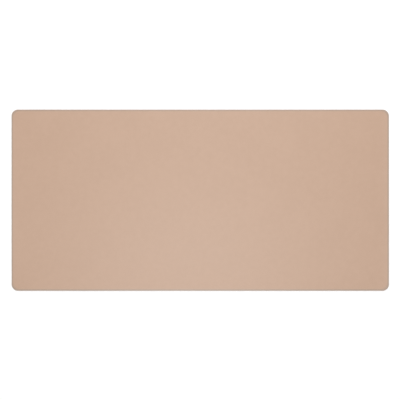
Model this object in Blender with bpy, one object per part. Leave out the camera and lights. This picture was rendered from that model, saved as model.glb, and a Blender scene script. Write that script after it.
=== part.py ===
"""Desk mat: a thin laminate of faux leather over a stiffening core and a suede backing.

Metres, +Z up. The origin is on the desk under the middle of the mat, +X runs along the long
side and +Y towards the back edge. Seven flat sheets lie on each other from the desk up, and
one bead of edge paint runs round their cut edges.
"""

import math

import bmesh
import bpy

LENGTH = 0.900
DEPTH = 0.432
THICKNESS = 0.0020
CORNER_RADIUS = 0.015

SHEET_GAP = 0.00002  # between neighbouring sheets, and between their cut edges and the bead
SKIN = 0.00015
FOAM = 0.00030
CLOTH = 0.00030
GLUE = 0.00008
CORE = 0.00035
SUEDE = THICKNESS - SKIN - FOAM - CLOTH - CORE - 2 * GLUE - 6 * SHEET_GAP

BEAD_WIDTH = 0.00050  # how far the paint stands out from the cut edge
BEAD_FOOT = 0.00015  # from the desk up to the bead's lower lip
BEAD_DROP = 0.00005  # from the face down to its upper lip

CORNER_STEPS = 12
BEAD_STEPS = 10
CREASE_ANGLE = math.radians(40)  # edges that turn by more than this are shaded sharp

# Name, thickness, colour and roughness of each sheet, from the face down.
SHEETS = (
    ("face_skin", SKIN, (0.51, 0.34, 0.24), 0.37),
    ("face_foam", FOAM, (0.58, 0.45, 0.35), 0.85),
    ("face_cloth", CLOTH, (0.66, 0.62, 0.56), 0.90),
    ("upper_glue_film", GLUE, (0.73, 0.69, 0.57), 0.35),
    ("core_sheet", CORE, (0.45, 0.36, 0.27), 0.87),
    ("lower_glue_film", GLUE, (0.73, 0.69, 0.57), 0.35),
    ("backing_suede", SUEDE, (0.40, 0.27, 0.19), 0.93),
)
EDGE_COLOUR = (0.37, 0.23, 0.16)
EDGE_ROUGHNESS = 0.38


def clear_scene():
    for obj in list(bpy.data.objects):
        bpy.data.objects.remove(obj, do_unlink=True)


def outline(inset, z):
    """Points of the mat's rounded outline, anticlockwise, moved in by inset."""
    radius = CORNER_RADIUS - inset
    centre_x = LENGTH / 2 - CORNER_RADIUS
    centre_y = DEPTH / 2 - CORNER_RADIUS
    points = []
    for corner, (side_x, side_y) in enumerate(((1, 1), (-1, 1), (-1, -1), (1, -1))):
        for step in range(CORNER_STEPS + 1):
            angle = math.radians(90) * (corner + step / CORNER_STEPS)
            x = side_x * centre_x + radius * math.cos(angle)
            y = side_y * centre_y + radius * math.sin(angle)
            points.append((x, y, z))
    return points


def bead_profile():
    """(inset, height) round the bead's section: the rounded outside going up, then its flat back."""
    back = BEAD_WIDTH
    low = BEAD_FOOT
    high = THICKNESS - BEAD_DROP
    middle = (low + high) / 2
    profile = []
    for step in range(BEAD_STEPS + 1):
        angle = math.radians(-90 + 180 * step / BEAD_STEPS)
        profile.append((back * (1 - math.cos(angle)), middle + (high - low) / 2 * math.sin(angle)))
    return profile


def material(name, colour, roughness):
    made = bpy.data.materials.new(name)
    made.use_nodes = True
    shader = made.node_tree.nodes["Principled BSDF"]
    shader.inputs["Base Color"].default_value = (*colour, 1)
    shader.inputs["Roughness"].default_value = roughness
    shader.inputs["Metallic"].default_value = 0
    return made


def add_object(name, bm, height, parent, colour, roughness):
    """Makes the object from its bmesh, on the mat's centre line and at this height."""
    bmesh.ops.recalc_face_normals(bm, faces=bm.faces)
    mesh = bpy.data.meshes.new(name)
    bm.to_mesh(mesh)
    bm.free()
    mesh.materials.append(material(name, colour, roughness))
    mesh.shade_smooth()
    mesh.set_sharp_from_angle(angle=CREASE_ANGLE)
    obj = bpy.data.objects.new(name, mesh)
    obj.parent = parent
    obj.location.z = height
    bpy.context.scene.collection.objects.link(obj)
    return obj


def sheet(thickness):
    """A flat sheet cut to the outline inside the bead, with its underside at z = 0."""
    bm = bmesh.new()
    cut = [bm.verts.new(point) for point in outline(BEAD_WIDTH + SHEET_GAP, 0)]
    underside = bm.faces.new(cut)
    lifted = bmesh.ops.extrude_face_region(bm, geom=[underside], use_keep_orig=True)
    upper = [v for v in lifted["geom"] if isinstance(v, bmesh.types.BMVert)]
    bmesh.ops.translate(bm, vec=(0, 0, thickness), verts=upper)
    return bm


def edge_bead():
    """The bead's section carried round the outline, as one closed ring."""
    bm = bmesh.new()
    rings = [[bm.verts.new(point) for point in outline(inset, z)] for inset, z in bead_profile()]
    for ring, following in zip(rings, rings[1:] + rings[:1]):
        for i in range(len(ring)):
            bm.faces.new((ring[i - 1], ring[i], following[i], following[i - 1]))
    return bm


clear_scene()
mat = bpy.data.objects.new("desk_mat", None)
bpy.context.scene.collection.objects.link(mat)

top = THICKNESS
for name, thickness, colour, roughness in SHEETS:
    add_object(name, sheet(thickness), top - thickness, mat, colour, roughness)
    top -= thickness + SHEET_GAP

add_object("edge_seal", edge_bead(), 0, mat, EDGE_COLOUR, EDGE_ROUGHNESS)
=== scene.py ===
"""Desk mat, seen square from above: a smooth tan faux-leather face with rounded corners.

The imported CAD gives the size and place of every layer. Each layer is made again here as a fine
sheet, and all of them follow one gently uneven surface whose short ends curl up a little,
because a real mat never lies dead flat. The edge paint is made again as a rounded bead.
Metres, +Z up, +X along the long side.
"""

import math

import bmesh
import bpy
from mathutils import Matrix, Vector


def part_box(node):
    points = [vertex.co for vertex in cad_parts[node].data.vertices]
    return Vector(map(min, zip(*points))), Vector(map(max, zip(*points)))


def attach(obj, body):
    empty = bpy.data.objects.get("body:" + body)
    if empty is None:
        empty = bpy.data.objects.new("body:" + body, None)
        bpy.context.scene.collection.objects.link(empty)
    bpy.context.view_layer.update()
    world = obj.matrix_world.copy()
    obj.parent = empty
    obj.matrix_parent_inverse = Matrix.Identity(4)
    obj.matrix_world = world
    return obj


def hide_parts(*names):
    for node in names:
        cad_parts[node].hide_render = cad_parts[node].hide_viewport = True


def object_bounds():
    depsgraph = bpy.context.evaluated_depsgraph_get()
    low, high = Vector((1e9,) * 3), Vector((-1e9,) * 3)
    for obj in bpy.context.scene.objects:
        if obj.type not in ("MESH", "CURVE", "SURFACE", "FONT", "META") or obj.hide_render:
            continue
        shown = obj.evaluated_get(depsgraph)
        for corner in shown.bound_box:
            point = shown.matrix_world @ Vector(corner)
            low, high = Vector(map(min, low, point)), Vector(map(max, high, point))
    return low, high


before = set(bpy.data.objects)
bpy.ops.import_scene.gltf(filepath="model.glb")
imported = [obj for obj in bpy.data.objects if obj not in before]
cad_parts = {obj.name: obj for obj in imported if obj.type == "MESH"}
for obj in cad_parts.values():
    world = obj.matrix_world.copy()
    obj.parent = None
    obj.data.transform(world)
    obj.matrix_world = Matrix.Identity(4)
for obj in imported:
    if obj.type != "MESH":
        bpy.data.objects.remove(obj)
cad_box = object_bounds()

# Sizes that the frame gives. The CAD is centred on the origin and stands on z = 0.
LENGTH, DEPTH, THICKNESS = cad_box[1] - cad_box[0]
SHEET_INSET = LENGTH / 2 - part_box("face_skin")[1][0]
BEAD_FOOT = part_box("edge_seal")[0][2]
CORNER_RADIUS = 0.015  # the CAD's own
INNER_X = LENGTH / 2 - CORNER_RADIUS
INNER_Y = DEPTH / 2 - CORNER_RADIUS
CREASE_ANGLE = math.radians(50)  # edges that turn by more than this are shaded sharp

# The sheets' meshes: an even grid inside, and rings that follow the outline near the edge.
GRID = 0.010
COLUMNS = round(2 * INNER_X / GRID)
ROWS = round(2 * INNER_Y / GRID)
CORNER_STEPS = 16
RING_INSETS = (0.0, 0.0002, 0.0005, 0.0010, 0.0016, 0.0024, 0.0040, 0.0070, 0.0110)

# How the mat lies: it stands off the desk in slow waves, and its short ends curl up a little, as
# they do on a mat that was rolled up. Its front left corner has settled flat. A wave is given by
# its cycles to the metre along x and along y, and its phase.
LIFT = 0.00040
LIFT_WAVES = ((1.9, 0.6, 0.3), (-1.1, 2.3, 1.7), (3.1, -1.4, 4.1), (0.7, 4.2, 2.6))
CURL = 0.00050
CURL_WIDTH = 0.022
SETTLED_REACH = 0.16

# How its rim was pressed when it was cut and sealed, and a band of painted shade along the rim, where
# the face is also smoother. The band is full up to one distance from the outline and ends at the
# next. Its inner line has rounder corners than the outline, so the painted shade is wider there.
PRESS_WIDTH = 0.0024
PRESS_SHARE = 0.05
RIM_SHADE_FULL = 0.0022
RIM_SHADE_END = 0.0052
RIM_SHADE_RADIUS = 0.019
RIM_SHADE_TINT = 0.70  # how far it takes on the rim's colour
RIM_POLISH = 0.06  # how much smoother it is than the rest of the face

# The bead of edge paint. It was drawn on, so its width swells and thins in waves on the way.
BEAD_STEPS = 14
BEAD_GAP = 0.00002
BEAD_SWELL = 0.00004
BEAD_WAVES = ((23.0, 23.0, 0.4), (-41.0, -41.0, 2.1), (67.0, 67.0, 5.0))

# Which ways the fibres of the suede's nap lean.
SUEDE_TURNS = (0.9, -0.7, 2.1)

# Base colours, as linear red, green and blue.
FACE_LIGHT = (0.514, 0.341, 0.243)
FACE_DARK = (0.500, 0.330, 0.234)
# The colour of the painted shade in the grain's creases.
FACE_CREASE_SHADE = (0.410, 0.266, 0.186)
# The colour of the painted shade along the rim.
FACE_RIM_SHADE = (0.372, 0.282, 0.221)
PAINT_LIGHT = (0.370, 0.250, 0.180)
PAINT_DARK = (0.320, 0.212, 0.152)
SUEDE_LIGHT = (0.440, 0.300, 0.215)
SUEDE_DARK = (0.335, 0.222, 0.154)
# The colour of the painted glints on single fibres.
SUEDE_FIBRE_GLINT = (0.540, 0.395, 0.300)
KNIT_YARN = (0.700, 0.660, 0.595)
# The colour of the painted shade between the yarns.
KNIT_GAP_SHADE = (0.430, 0.395, 0.345)
FOAM_WALL = (0.640, 0.500, 0.395)
# The colour of the painted shade in the foam's cells.
FOAM_CELL_SHADE = (0.455, 0.335, 0.255)
GLUE_CLEAR = (0.690, 0.640, 0.500)
GLUE_MILKY = (0.790, 0.760, 0.660)
BOARD_LIGHT = (0.520, 0.420, 0.315)
BOARD_DARK = (0.375, 0.290, 0.210)
BOARD_SPECK = (0.190, 0.125, 0.080)
FLOOR_WHITE = (1.0, 1.0, 1.0)
FLOOR_GREY = (0.9, 0.9, 0.9)

# The studio. A softbox is its name, place, the point that it faces, width, depth and radiance.
FLOOR_REACH = 15.0
FLOOR_DROP = 0.0001  # keeps the floor just clear of the suede
SOFTBOXES = (
    ("overhead", (-0.01, -0.45, 3.2), (-0.01, -0.45, 0.0), 1.07, 0.90, 7.5),
    ("key", (0.12, 1.20, 1.8), (0.0, 0.0, 0.0), 1.2, 1.2, 3.38),
)
SKY_LEVEL = 0.663
WALL_LEVEL = 0.850
WALL_TOP = 0.30  # the sine of the height angle where the white walls end

# The camera: how much it sees across at the mat's face, and the point that it stands over.
VIEW_WIDTH = 0.9544
VIEW_CENTRE = (-0.0006, 0.0004)
LENS = 85.0
SENSOR = 36.0


def waves_at(x, y, waves):
    """The mean of the sine waves at this point, brought into the range from 0 to 1."""
    mean = sum(math.sin(math.tau * (u * x + v * y) + phase) for u, v, phase in waves) / len(waves)
    return 0.5 + 0.5 * mean


def edge_distance(x, y):
    """How far in from the mat's outline this point lies."""
    past_x, past_y = abs(x) - INNER_X, abs(y) - INNER_Y
    if past_x < 0 and past_y < 0:
        return CORNER_RADIUS - max(past_x, past_y)
    return CORNER_RADIUS - math.hypot(max(past_x, 0), max(past_y, 0))


def lift(x, y):
    """How far the mat stands off the desk at this point."""
    end = max(0.0, 1 - (LENGTH / 2 - abs(x)) / CURL_WIDTH)
    corner = max(0.0, 1 - math.hypot(x + LENGTH / 2, y + DEPTH / 2) / SETTLED_REACH)
    free = 1 - corner**2 * (3 - 2 * corner)  # 0 at the settled corner, and smoothly 1 away from it
    return free * (LIFT * waves_at(x, y, LIFT_WAVES) + CURL * end**2)


def pressed(x, y):
    """The share of its height that the laminate keeps here, which is less at the pressed rim."""
    rim = max(0.0, 1 - (edge_distance(x, y) - SHEET_INSET) / PRESS_WIDTH)
    return 1 - PRESS_SHARE * rim**2


def outline():
    """Every point round the mat: its column and row on the inner grid, and the way out from there."""
    corners = ((COLUMNS, ROWS), (0, ROWS), (0, 0), (COLUMNS, 0))
    sides = ((-1, 0, COLUMNS), (0, -1, ROWS), (1, 0, COLUMNS), (0, 1, ROWS))
    points = []
    for quarter, ((column, row), (along_x, along_y, count)) in enumerate(zip(corners, sides)):
        for step in range(CORNER_STEPS + 1):
            angle = math.radians(90) * (quarter + step / CORNER_STEPS)
            points.append((column, row, math.cos(angle), math.sin(angle)))
        for step in range(1, count):
            points.append((column + step * along_x, row + step * along_y, *points[-1][2:]))
    return points


OUTLINE = outline()


def inner_point(column, row):
    """Where a point of the inner grid lies."""
    return (2 * column / COLUMNS - 1) * INNER_X, (2 * row / ROWS - 1) * INNER_Y


def ring_of(bm, inset_at, height_at):
    """Vertices round the mat. The functions give how far in from the outline, and how high, each is."""
    ring = []
    for column, row, out_x, out_y in OUTLINE:
        x, y = inner_point(column, row)
        reach = CORNER_RADIUS - inset_at(x, y)
        x += reach * out_x
        y += reach * out_y
        ring.append(bm.verts.new((x, y, height_at(x, y))))
    return ring


def join_rings(bm, first, second):
    """Faces between two rings of as many points, where neighbours in the second may be one point."""
    for i in range(len(first)):
        corners = [first[i - 1], first[i], second[i], second[i - 1]]
        bm.faces.new(corners if second[i] is not second[i - 1] else corners[:3])


def sheet_side(bm, level):
    """One face of a sheet, from its cut edge to the middle. Returns the ring at its cut edge."""

    def height_at(x, y):
        return level * pressed(x, y) + lift(x, y)

    rings = [ring_of(bm, lambda x, y: SHEET_INSET + inset, height_at) for inset in RING_INSETS]
    grid = []
    for column in range(COLUMNS + 1):
        places = [inner_point(column, row) for row in range(ROWS + 1)]
        grid.append([bm.verts.new((x, y, height_at(x, y))) for x, y in places])
    for ring, following in zip(rings, rings[1:]):
        join_rings(bm, ring, following)
    join_rings(bm, rings[-1], [grid[column][row] for column, row, _, _ in OUTLINE])
    for column in range(COLUMNS):
        for row in range(ROWS):
            left, right = grid[column], grid[column + 1]
            bm.faces.new((left[row], right[row], right[row + 1], left[row + 1]))
    return rings[0]


def add_piece(name, bm, node, material):
    """Makes the piece that stands for a CAD node, riding on the mat's one body."""
    bmesh.ops.recalc_face_normals(bm, faces=bm.faces)
    mesh = bpy.data.meshes.new(name)
    bm.to_mesh(mesh)
    bm.free()
    mesh.materials.append(material)
    mesh.shade_smooth()
    mesh.set_sharp_from_angle(angle=CREASE_ANGLE)
    piece = bpy.data.objects.new(name, mesh)
    bpy.context.scene.collection.objects.link(piece)
    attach(piece, "root")
    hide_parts(node)
    return piece


def lay_sheet(name, node, material):
    """A fine closed sheet in the place of a CAD layer."""
    low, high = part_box(node)
    bm = bmesh.new()
    join_rings(bm, sheet_side(bm, low[2]), sheet_side(bm, high[2]))
    piece = add_piece(name, bm, node, material)
    return piece


def bead_ring(bm, bulge, level):
    """One line of the bead round the mat. bulge is 0 where it meets the layers and 1 furthest out."""

    def inset_at(x, y):
        back = SHEET_INSET - BEAD_GAP
        swell = BEAD_SWELL * waves_at(x, y, BEAD_WAVES)
        return back - (back - swell) * bulge

    return ring_of(bm, inset_at, lambda x, y: level + lift(x, y))


def draw_bead(name, node, material):
    """The edge paint: a rounded outside carried round the outline, flat where it meets the layers."""
    top = THICKNESS * (1 - PRESS_SHARE)
    middle, half = (top + BEAD_FOOT) / 2, (top - BEAD_FOOT) / 2
    bm = bmesh.new()
    rings = []
    for step in range(BEAD_STEPS + 1):
        angle = math.radians(-90 + 180 * step / BEAD_STEPS)
        rings.append(bead_ring(bm, math.cos(angle), middle + half * math.sin(angle)))
    for ring, following in zip(rings, rings[1:] + rings[:1]):
        join_rings(bm, ring, following)
    add_piece(name, bm, node, material)


class Nodes:
    """A material's node tree, with short calls for the nodes used here. Lengths are in metres."""

    def __init__(self, name):
        self.material = bpy.data.materials.new(name)
        self.material.use_nodes = True
        self.tree = self.material.node_tree
        self.shader = self.tree.nodes["Principled BSDF"]
        self.place = self.tree.nodes.new("ShaderNodeTexCoord").outputs["Object"]

    def put(self, socket, value):
        """Links the value to the socket if it is another node's output, and sets it if not."""
        if isinstance(value, bpy.types.NodeSocket):
            self.tree.links.new(value, socket)
        else:
            socket.default_value = value

    def add(self, kind, inputs=None, **settings):
        """A new node with these inputs, named or numbered, and these settings."""
        node = self.tree.nodes.new(kind)
        for key, value in settings.items():
            setattr(node, key, value)
        for key, value in (inputs or {}).items():
            self.put(node.inputs[key], value)
        return node

    def finish(self, **values):
        """Sets the shader's inputs, whose names are written with _ for each space."""
        for name, value in values.items():
            self.put(self.shader.inputs[name.replace("_", " ")], value)
        return self.material

    def maths(self, operation, *values):
        return self.add("ShaderNodeMath", dict(enumerate(values)), operation=operation).outputs[0]

    def vector(self, operation, *values):
        return self.add("ShaderNodeVectorMath", dict(enumerate(values)), operation=operation).outputs[0]

    def blend(self, share, first, second):
        """first where share is 0, second where it is 1. All three are numbers or sockets."""
        node = self.add("ShaderNodeMix", {0: share, 2: first, 3: second}, data_type="FLOAT")
        return node.outputs[0]

    def noise(self, size, detail=2.0, roughness=0.5, place=None):
        """Noise from 0 to 1 whose lumps are about this size."""
        place = place or self.place
        inputs = {"Vector": place, "Scale": 1 / size, "Detail": detail, "Roughness": roughness}
        return self.add("ShaderNodeTexNoise", inputs).outputs["Fac"]

    def cells(self, size, feature="F1", place=None):
        """Distance in a pattern of cells of this size: from a cell's middle, or from its edge."""
        inputs = {"Vector": place or self.place, "Scale": 1 / size}
        node = self.add("ShaderNodeTexVoronoi", inputs, feature=feature, voronoi_dimensions="2D")
        return node.outputs["Distance"]

    def warped(self, size, reach):
        """The place of each point, moved by up to about reach in lumps of this size."""
        push = self.add("ShaderNodeTexNoise", {"Vector": self.place, "Scale": 1 / size, "Detail": 1.0})
        bent = self.vector("SUBTRACT", push.outputs["Color"], (0.5, 0.5, 0.5))
        return self.vector("ADD", self.place, self.vector("MULTIPLY", bent, (2 * reach, 2 * reach, 0.0)))

    def stretched(self, along_x, along_y, turn=0.0):
        """The place of each point, turned by an angle and then stretched."""
        scale = (1 / along_x, 1 / along_y, 1.0)
        inputs = {"Vector": self.place, "Rotation": (0.0, 0.0, turn), "Scale": scale}
        return self.add("ShaderNodeMapping", inputs).outputs["Vector"]

    def between(self, value, low, high, to_low=0.0, to_high=1.0):
        """Value mapped smoothly from the range low to high, and held inside the new range."""
        inputs = {"Value": value, "From Min": low, "From Max": high, "To Min": to_low, "To Max": to_high}
        return self.add("ShaderNodeMapRange", inputs, interpolation_type="SMOOTHSTEP").outputs["Result"]

    def mix(self, share, first, second):
        """Two colours mixed. A colour is (red, green, blue) or another mix."""
        node = self.add("ShaderNodeMix", {0: share}, data_type="RGBA")
        for index, colour in ((6, first), (7, second)):
            self.put(node.inputs[index], (*colour, 1.0) if isinstance(colour, tuple) else colour)
        return node.outputs[2]

    def bump(self, relief, depth):
        """A bump whose relief from 0 to 1 stands for this depth."""
        return self.add("ShaderNodeBump", {"Height": relief, "Distance": depth}).outputs["Normal"]

    def edge_distance(self, radius):
        """How far in a point lies from an outline of the mat's size whose corners have this radius."""
        away = self.vector("ABSOLUTE", self.place)
        past = self.vector("SUBTRACT", away, (LENGTH / 2 - radius, DEPTH / 2 - radius, 1.0))
        past = self.vector("MAXIMUM", past, (0.0, 0.0, 0.0))
        reach = self.add("ShaderNodeVectorMath", {0: past}, operation="LENGTH").outputs["Value"]
        return self.maths("SUBTRACT", radius, reach)


def leather():
    """Tan polyurethane with a fine pebble grain, a satin sheen, painted shade in the grain's creases,
    and a pressed, smoother rim under a band of painted shade.
    """
    n = Nodes("tan_leather")
    bent = n.warped(0.0030, 0.0009)
    pebble = n.between(n.cells(0.0021, "DISTANCE_TO_EDGE", bent), 0.0, 0.42)
    folds = n.between(n.cells(0.0011, "DISTANCE_TO_EDGE", bent), 0.0, 0.35)
    swell = n.noise(0.0065)
    pores = n.noise(0.0005, detail=1.0)
    relief = n.blend(0.30, n.blend(0.25, pebble, folds), n.blend(0.25, swell, pores))
    crease = n.between(relief, 0.10, 0.55, 1.0, 0.0)
    tone = n.blend(0.5, n.noise(0.090), n.noise(0.014, detail=3.0))
    # The rim band, wider at the corners: it carries painted shade and a smoother finish.
    rim = n.between(n.edge_distance(RIM_SHADE_RADIUS), RIM_SHADE_FULL, RIM_SHADE_END, 1.0, 0.0)
    colour = n.mix(n.between(tone, 0.35, 0.65), FACE_DARK, FACE_LIGHT)
    # Painted shade in the grain's creases, where the relief is low.
    colour = n.mix(n.maths("MULTIPLY", crease, 0.25), colour, FACE_CREASE_SHADE)
    # Painted shade along the rim, darkest where the band is full.
    colour = n.mix(n.maths("MULTIPLY", rim, RIM_SHADE_TINT), colour, FACE_RIM_SHADE)
    rough = n.blend(crease, n.between(tone, 0.3, 0.7, 0.335, 0.365), 0.42)
    rough = n.maths("SUBTRACT", rough, n.maths("MULTIPLY", rim, RIM_POLISH))
    return n.finish(Base_Color=colour, Roughness=rough, Normal=n.bump(relief, 0.00006), IOR=1.5)


def edge_paint():
    """Brown acrylic edge paint, laid on thick: satin, with faint ripples, and a rougher lip at its foot
    that painted shade darkens.
    """
    n = Nodes("brown_edge_paint")
    ripple = n.noise(0.0030, detail=2.0)
    tone = n.noise(0.012, detail=3.0)
    colour = n.mix(n.between(tone, 0.35, 0.65), PAINT_DARK, PAINT_LIGHT)
    height_up = n.add("ShaderNodeSeparateXYZ", {0: n.place}).outputs["Z"]
    # The bead's foot by the floor: painted shade darkens it, and it is rougher.
    shaded_dull_lip = n.between(height_up, 0.0003, 0.0009, 1.0, 0.0)
    colour = n.mix(n.maths("MULTIPLY", shaded_dull_lip, 0.5), colour, PAINT_DARK)
    rough = n.maths("ADD", n.between(ripple, 0.3, 0.7, 0.30, 0.42), n.maths("MULTIPLY", shaded_dull_lip, 0.12))
    return n.finish(Base_Color=colour, Roughness=rough, Normal=n.bump(ripple, 0.00005))


def suede():
    """Brushed microfibre: a short nap that lies in soft lighter and darker patches, with painted shade
    in the nap's hollows and painted glints on single fibres.
    """
    n = Nodes("brushed_suede")
    brushed = n.blend(0.45, n.noise(0.032, detail=3.0), n.noise(0.011, place=n.stretched(1.8, 1.0, 0.5)))
    nap = n.noise(0.0006, detail=4.0, roughness=0.75)
    fibre = n.noise(0.0005, detail=3.0, place=n.stretched(3.0, 1.0, SUEDE_TURNS[0]))
    for turn in SUEDE_TURNS[1:]:
        fibre = n.maths("MAXIMUM", fibre, n.noise(0.0005, detail=3.0, place=n.stretched(3.0, 1.0, turn)))
    colour = n.mix(n.between(brushed, 0.36, 0.64), SUEDE_DARK, SUEDE_LIGHT)
    # Painted shade in the nap's hollows, where the nap is low.
    colour = n.mix(n.between(nap, 0.30, 0.60, 0.40, 0.0), colour, SUEDE_DARK)
    # Painted glints where single fibres catch the light.
    colour = n.mix(n.between(fibre, 0.50, 0.72, 0.0, 0.40), colour, SUEDE_FIBRE_GLINT)
    n.finish(Sheen_Weight=0.30, Sheen_Roughness=0.45, Sheen_Tint=(1.0, 0.88, 0.76, 1.0))
    rough = n.between(brushed, 0.3, 0.7, 0.97, 0.88)
    return n.finish(Base_Color=colour, Roughness=rough, Normal=n.bump(n.blend(0.5, nap, fibre), 0.00012))


def knit():
    """The faux leather's base cloth: a fine jersey knit, each stitch a pair of slanting legs, with
    painted shade between the yarns.
    """
    n = Nodes("jersey_base_cloth")
    wale, course = 0.0014, 0.0011  # how wide a column and a row of stitches are
    parts = n.add("ShaderNodeSeparateXYZ", {0: n.warped(0.006, 0.00012)})
    across = n.maths("FRACT", n.maths("DIVIDE", parts.outputs["X"], wale))
    along = n.maths("DIVIDE", parts.outputs["Y"], course)
    from_middle = n.maths("ABSOLUTE", n.maths("SUBTRACT", across, 0.5))
    leg = n.maths("SINE", n.maths("MULTIPLY", from_middle, math.tau))
    slant = n.maths("ADD", along, n.maths("MULTIPLY", from_middle, 1.5))
    loop = n.maths("SINE", n.maths("MULTIPLY", slant, math.tau))
    loop = n.maths("ADD", n.maths("MULTIPLY", loop, 0.5), 0.5)
    yarn = n.maths("MULTIPLY", leg, n.blend(0.65, 1.0, loop))
    fuzz = n.noise(0.0005, detail=3.0, roughness=0.65)
    # Painted shade in the gaps between the yarns, and where the fuzz is low.
    colour = n.mix(n.between(yarn, 0.10, 0.60), KNIT_GAP_SHADE, KNIT_YARN)
    colour = n.mix(n.between(fuzz, 0.35, 0.65, 0.25, 0.0), colour, KNIT_GAP_SHADE)
    n.finish(Sheen_Weight=0.15, Sheen_Roughness=0.5)
    rough = n.between(fuzz, 0.3, 0.7, 0.95, 0.86)
    return n.finish(Base_Color=colour, Roughness=rough, Normal=n.bump(n.blend(0.2, yarn, fuzz), 0.00012))


def foam():
    """The faux leather's foamed layer: tiny closed cells of uneven size, with painted shade in the
    cells.
    """
    n = Nodes("microcellular_foam")
    small = n.cells(0.0004, "F1", n.warped(0.002, 0.0002))
    large = n.cells(0.0011, "F1", n.warped(0.004, 0.0005))
    wall = n.maths("MINIMUM", n.between(small, 0.15, 0.45, 0.35, 1.0), n.between(large, 0.12, 0.34))
    cloud = n.noise(0.020, detail=3.0)
    # Painted shade in the cells, between their lighter walls; clouds darken towards the same colour at
    # random.
    colour = n.mix(wall, FOAM_CELL_SHADE, FOAM_WALL)
    colour = n.mix(n.between(cloud, 0.35, 0.70, 0.0, 0.20), colour, FOAM_CELL_SHADE)
    rough = n.between(wall, 0.0, 1.0, 0.92, 0.78)
    return n.finish(Base_Color=colour, Roughness=rough, Normal=n.bump(wall, 0.00010))


def glue_film():
    """Hot-melt film: a thin milky web, glossy where it flowed clear and dull where it pulled away."""
    n = Nodes("hot_melt_film")
    web = n.between(n.cells(0.0042, "DISTANCE_TO_EDGE", n.warped(0.007, 0.0018)), 0.02, 0.16, 1.0, 0.0)
    bubbles = n.between(n.cells(0.0023), 0.10, 0.17, 1.0, 0.0)
    flow = n.noise(0.016, detail=4.0, roughness=0.6)
    milky = n.maths("MAXIMUM", web, n.between(flow, 0.45, 0.65))
    colour = n.mix(milky, GLUE_CLEAR, GLUE_MILKY)
    relief = n.maths("ADD", n.maths("MULTIPLY", web, 0.6), n.maths("MULTIPLY", bubbles, 0.4))
    rough = n.between(milky, 0.0, 1.0, 0.18, 0.48)
    return n.finish(Base_Color=colour, Roughness=rough, Normal=n.bump(relief, 0.00004), IOR=1.48)


def bonded_board():
    """The core: shredded leather fibre pressed into a board, with darker shreds and a felted grain."""
    n = Nodes("bonded_fibre_board")
    shreds = n.noise(0.0016, detail=4.0, roughness=0.6, place=n.stretched(3.5, 1.0, 0.35))
    crossed = n.noise(0.0016, detail=4.0, roughness=0.6, place=n.stretched(3.5, 1.0, -1.1))
    felt = n.maths("MAXIMUM", shreds, crossed)
    cloud = n.noise(0.025, detail=3.0)
    size = n.noise(0.009, detail=1.0)
    middles = n.cells(0.0045, "F1", n.warped(0.0011, 0.0009))
    specks = n.between(n.maths("SUBTRACT", n.maths("MULTIPLY", size, 0.30), middles), 0.0, 0.04)
    colour = n.mix(n.between(felt, 0.45, 0.70), BOARD_DARK, BOARD_LIGHT)
    colour = n.mix(n.between(cloud, 0.35, 0.65, 0.0, 0.35), colour, BOARD_DARK)
    colour = n.mix(n.maths("MULTIPLY", specks, 0.8), colour, BOARD_SPECK)
    rough = n.between(felt, 0.4, 0.7, 0.94, 0.80)
    return n.finish(Base_Color=colour, Roughness=rough, Normal=n.bump(felt, 0.00010))


def floor_paper():
    """White studio paper with a faint tooth."""
    n = Nodes("white_paper")
    tooth = n.noise(0.0015, detail=3.0)
    colour = n.mix(n.between(tooth, 0.3, 0.7, 0.0, 0.02), FLOOR_WHITE, FLOOR_GREY)
    return n.finish(Base_Color=colour, Roughness=0.9)


def add_floor():
    """The paper that the mat lies on."""
    corners = [(x * FLOOR_REACH, y * FLOOR_REACH, 0) for x, y in ((-1, -1), (1, -1), (1, 1), (-1, 1))]
    mesh = bpy.data.meshes.new("floor")
    mesh.from_pydata(corners, [], [(0, 1, 2, 3)])
    mesh.materials.append(floor_paper())
    floor = bpy.data.objects.new("floor", mesh)
    floor.location.z = -FLOOR_DROP
    bpy.context.scene.collection.objects.link(floor)


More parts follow.
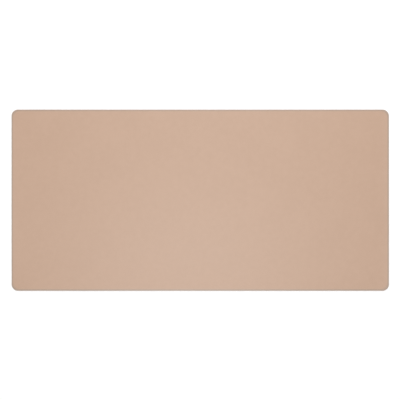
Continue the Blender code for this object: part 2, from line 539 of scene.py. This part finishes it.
def add_softbox(name, location, aim, width, depth, radiance):
    """A studio light that faces the point aim. The camera doesn't see the light itself."""
    data = bpy.data.lights.new(name, "AREA")
    data.shape = "RECTANGLE"
    data.size = width
    data.size_y = depth
    data.energy = radiance * width * depth * math.pi
    lamp = bpy.data.objects.new(name, data)
    lamp.location = location
    lamp.rotation_mode = "QUATERNION"
    lamp.rotation_quaternion = (Vector(location) - Vector(aim)).to_track_quat("Z", "Y")
    lamp.visible_camera = False
    bpy.context.scene.collection.objects.link(lamp)


def add_world():
    """An evenly lit white studio, a little brighter at the walls than above."""
    world = bpy.data.worlds.new("studio")
    world.use_nodes = True
    tree = world.node_tree
    place = tree.nodes.new("ShaderNodeTexCoord")
    parts = tree.nodes.new("ShaderNodeSeparateXYZ")
    level = tree.nodes.new("ShaderNodeMapRange")
    level.interpolation_type = "SMOOTHSTEP"
    level.inputs["From Min"].default_value = 0.0
    level.inputs["From Max"].default_value = WALL_TOP
    level.inputs["To Min"].default_value = WALL_LEVEL
    level.inputs["To Max"].default_value = SKY_LEVEL
    tree.links.new(place.outputs["Generated"], parts.inputs[0])
    tree.links.new(parts.outputs["Z"], level.inputs["Value"])
    background = tree.nodes["Background"]
    background.inputs["Color"].default_value = (1.0, 1.0, 1.0, 1.0)
    tree.links.new(level.outputs["Result"], background.inputs["Strength"])
    bpy.context.scene.world = world


def add_camera():
    """Straight above the mat, with a long lens."""
    data = bpy.data.cameras.new("camera")
    data.lens = LENS
    data.sensor_width = SENSOR
    camera = bpy.data.objects.new("camera", data)
    camera.location = (*VIEW_CENTRE, THICKNESS + VIEW_WIDTH * LENS / SENSOR)
    bpy.context.scene.collection.objects.link(camera)
    bpy.context.scene.camera = camera


glue = glue_film()
backing = lay_sheet("suede_backing", "backing_suede", suede())
lower_glue = lay_sheet("lower_glue", "lower_glue_film", glue)
core = lay_sheet("core", "core_sheet", bonded_board())
upper_glue = lay_sheet("upper_glue", "upper_glue_film", glue)
cloth = lay_sheet("base_cloth", "face_cloth", knit())
padding = lay_sheet("foam", "face_foam", foam())
lay_sheet("leather_face", "face_skin", leather())
draw_bead("edge_bead", "edge_seal", edge_paint())

bpy.context.scene.view_settings.view_transform = "Standard"
add_world()
add_floor()
for softbox in SOFTBOXES:
    add_softbox(*softbox)
add_camera()
